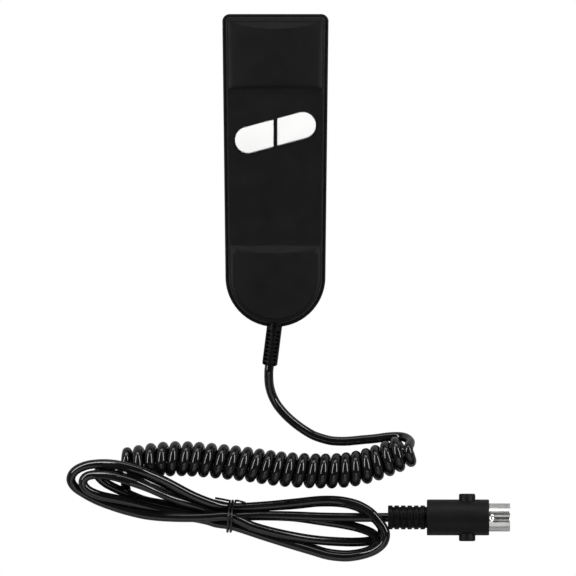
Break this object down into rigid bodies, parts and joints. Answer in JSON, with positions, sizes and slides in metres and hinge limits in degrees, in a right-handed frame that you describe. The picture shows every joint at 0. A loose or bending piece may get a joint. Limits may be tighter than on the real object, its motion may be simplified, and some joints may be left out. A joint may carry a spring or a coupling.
{
  "type": "corded hand control",
  "caption": "Handheld corded control with slanted push buttons, slotted strain relief, coiled cord tied in a hank, and a round multi-pin plug with locking lugs.",
  "frame": {"origin": "centre of the handset's flat rear face, on the plane that the object lies on", "axes": "+X across the handset to the right, +Y along the handset towards its head, +Z out of its front face; the plug's axis runs along +X"},
  "size_m": [0.2085, 0.2573, 0.024],
  "materials": {
    "shell": "fine-grained moulded plastic, satin",
    "shell_rear": "moulded plastic, satin",
    "steel": "zinc-plated",
    "button": "smooth moulded plastic",
    "board": "solder-resist",
    "switch": "moulded",
    "plunger": "moulded",
    "spring_brass": "bright strip",
    "tinned": "tinned",
    "boot": "flexible PVC, satin",
    "cord": "flexible PVC, glossy",
    "wire_red": "PVC",
    "wire_black": "PVC",
    "wire_white": "PVC",
    "wire_green": "PVC",
    "wire_yellow": "PVC",
    "tie": "PVC-coated wire",
    "plug": "fine matte moulding",
    "insert": "moulded insulator",
    "nickel": "nickel-plated",
    "contact": "plated brass"
  },
  "bodies": {
    "handset": {"front_shell": "shell", "rear_shell": "shell_rear", "shell_screws": "steel", "circuit_board": "board", "board_screws": "steel", "switch_case_left": "switch", "switch_case_right": "switch", "switch_blade_left": "spring_brass", "switch_blade_right": "spring_brass", "switch_terminals": "tinned", "cord_boot": "boot", "cord_jacket": "cord", "conductor_red": "wire_red", "conductor_black": "wire_black", "conductor_white": "wire_white", "conductor_green": "wire_green", "conductor_yellow": "wire_yellow", "twist_tie": "tie", "plug_boot": "boot", "plug_housing": "plug", "plug_ferrule": "tinned", "plug_insert": "insert", "plug_shield": "nickel", "plug_contacts": "contact"},
    "button_left": {"button_left": "button"},
    "button_right": {"button_right": "button"},
    "plunger_left": {"switch_plunger_left": "plunger"},
    "plunger_right": {"switch_plunger_right": "plunger"}
  },
  "joints": [
    {"name": "button_left_press", "type": "slide", "parent": "handset", "child": "button_left", "axis": [0, 0, 1], "range_m": [-0.0008, 0], "stiffness_N_per_m": 1500, "springref_m": 0.001},
    {"name": "button_right_press", "type": "slide", "parent": "handset", "child": "button_right", "axis": [0, 0, 1], "range_m": [-0.0008, 0], "stiffness_N_per_m": 1500, "springref_m": 0.001},
    {"name": "plunger_left_press", "type": "slide", "parent": "handset", "child": "plunger_left", "axis": [0, 0, 1], "range_m": [-0.0008, 0]},
    {"name": "plunger_right_press", "type": "slide", "parent": "handset", "child": "plunger_right", "axis": [0, 0, 1], "range_m": [-0.0008, 0]}
  ],
  "couplings": [
    {"joint": "plunger_left_press", "follows": "button_left_press", "ratio": 1},
    {"joint": "plunger_right_press", "follows": "button_right_press", "ratio": 1}
  ]
}
